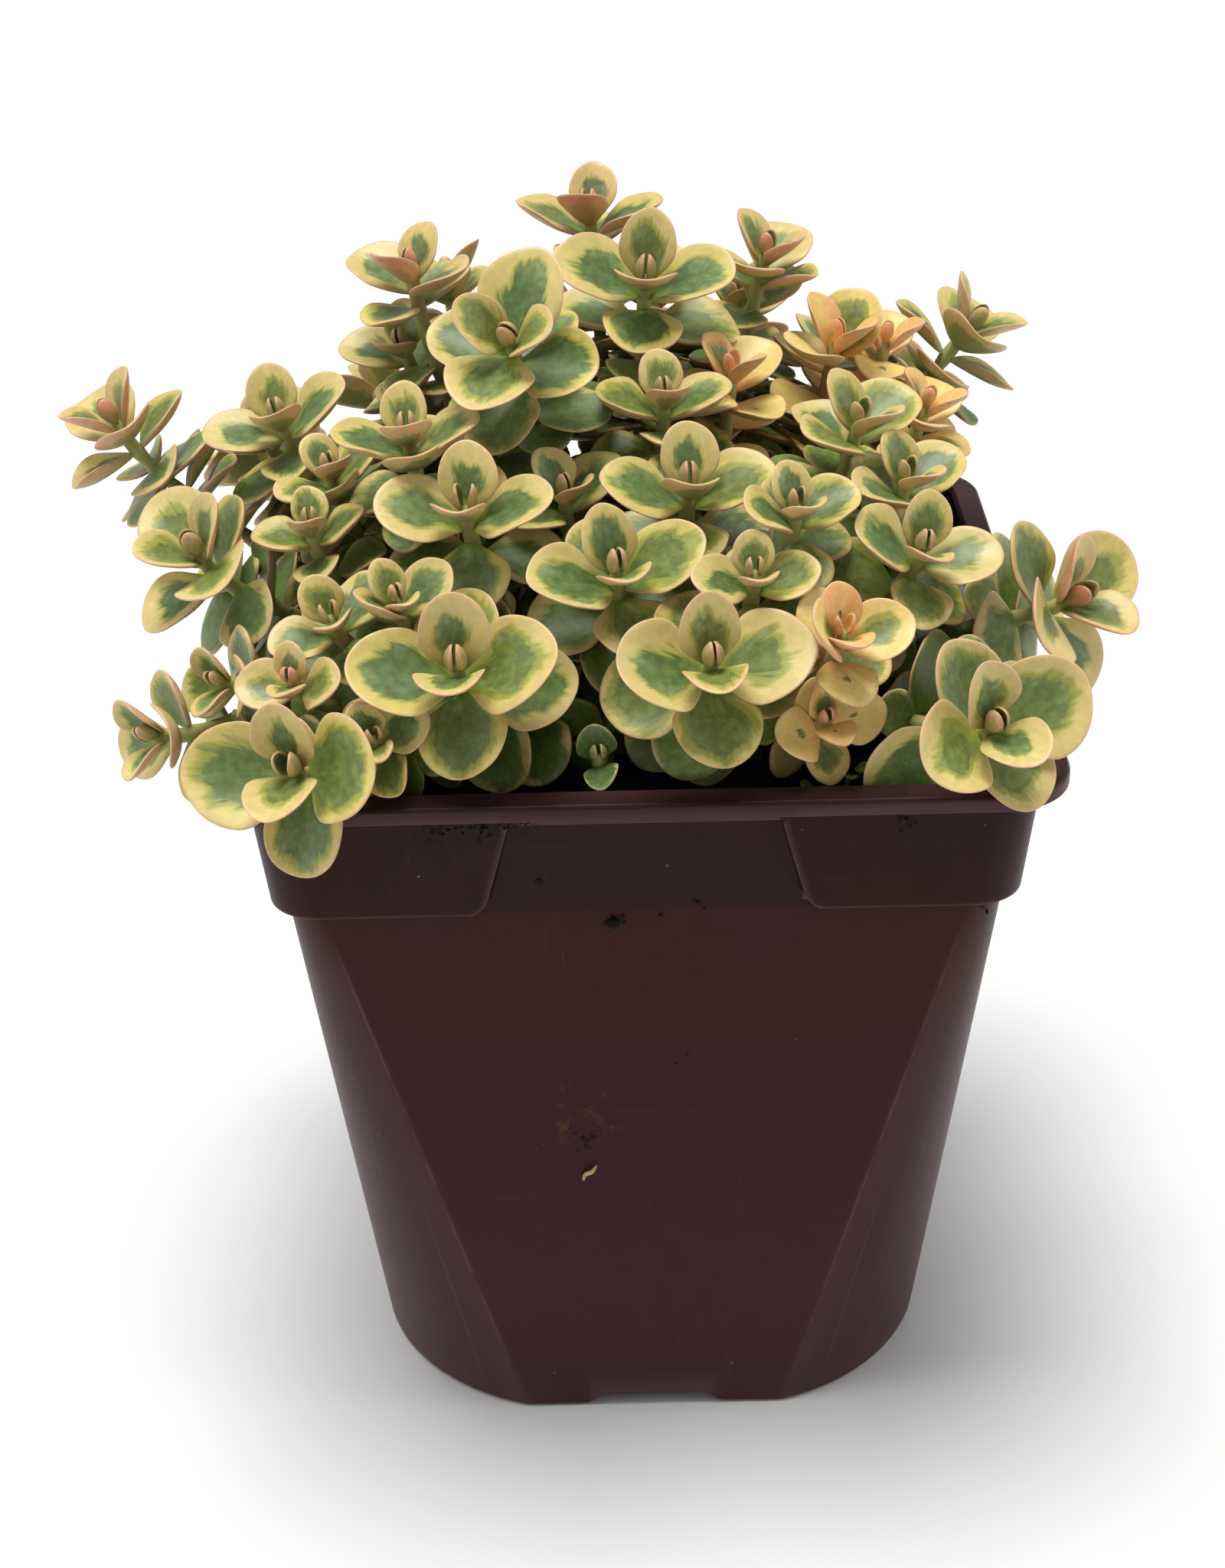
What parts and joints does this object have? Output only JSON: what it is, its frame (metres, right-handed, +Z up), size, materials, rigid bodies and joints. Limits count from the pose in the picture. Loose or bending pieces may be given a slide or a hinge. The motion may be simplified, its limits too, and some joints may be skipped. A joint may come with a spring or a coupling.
{
  "type": "potted succulent plant",
  "caption": "Variegated sedum in a square tapered nursery pot: leafy green shoots with cream edges over a thin dark brown plastic pot filled with potting mix.",
  "frame": {"origin": "middle of the pot's underside, on the pad under the middle of its floor", "axes": "+Z up along the pot's axis, -Y the front, +X to the right when seen from the front"},
  "size_m": [0.154, 0.1397, 0.1748],
  "materials": {
    "pot": "satin dark maroon brown, moulded",
    "potting_mix": "loose, rough and nearly black",
    "leaf_green": "fleshy leaves, satin, grey green with cream edges",
    "leaf_cream": "fleshy leaves, satin, nearly all cream",
    "leaf_blush": "fleshy leaves, satin, green and cream with pink backs"
  },
  "bodies": {
    "root": {"nursery_pot": "pot", "potting_mix": "potting_mix", "shoot_front_1": "leaf_green", "shoot_front_2": "leaf_green", "shoot_front_3": "leaf_green", "shoot_front_4": "leaf_green", "shoot_front_5": "leaf_cream", "shoot_front_6": "leaf_cream", "shoot_front_7": "leaf_green", "shoot_front_8": "leaf_green", "shoot_middle_1": "leaf_green", "shoot_middle_2": "leaf_green", "shoot_middle_3": "leaf_green", "shoot_middle_4": "leaf_green", "shoot_middle_5": "leaf_green", "shoot_middle_6": "leaf_green", "shoot_middle_7": "leaf_green", "shoot_middle_8": "leaf_green", "shoot_middle_9": "leaf_green", "shoot_left_1": "leaf_green", "shoot_left_2": "leaf_green", "shoot_left_3": "leaf_green", "shoot_left_4": "leaf_green", "shoot_left_5": "leaf_blush", "shoot_left_6": "leaf_green", "shoot_left_7": "leaf_green", "shoot_left_8": "leaf_blush", "shoot_left_9": "leaf_green", "shoot_top_1": "leaf_green", "shoot_top_2": "leaf_green", "shoot_top_3": "leaf_blush", "shoot_top_4": "leaf_blush", "shoot_top_5": "leaf_green", "shoot_top_6": "leaf_green", "shoot_top_7": "leaf_blush", "shoot_top_8": "leaf_cream", "shoot_top_9": "leaf_cream", "shoot_right_1": "leaf_green", "shoot_right_2": "leaf_green", "shoot_right_3": "leaf_blush", "shoot_right_4": "leaf_cream", "shoot_right_5": "leaf_cream", "shoot_back_1": "leaf_green", "shoot_back_2": "leaf_green", "shoot_back_3": "leaf_green", "shoot_back_4": "leaf_green", "shoot_back_5": "leaf_green", "shoot_back_6": "leaf_green", "shoot_back_7": "leaf_blush", "shoot_back_8": "leaf_green", "shoot_back_9": "leaf_green", "shoot_back_10": "leaf_cream", "shoot_back_11": "leaf_green", "shoot_back_12": "leaf_green", "shoot_back_13": "leaf_green", "shoot_back_14": "leaf_green", "shoot_inner_1": "leaf_green", "shoot_inner_2": "leaf_green", "shoot_inner_3": "leaf_green", "shoot_inner_4": "leaf_green"}
  },
  "joints": []
}
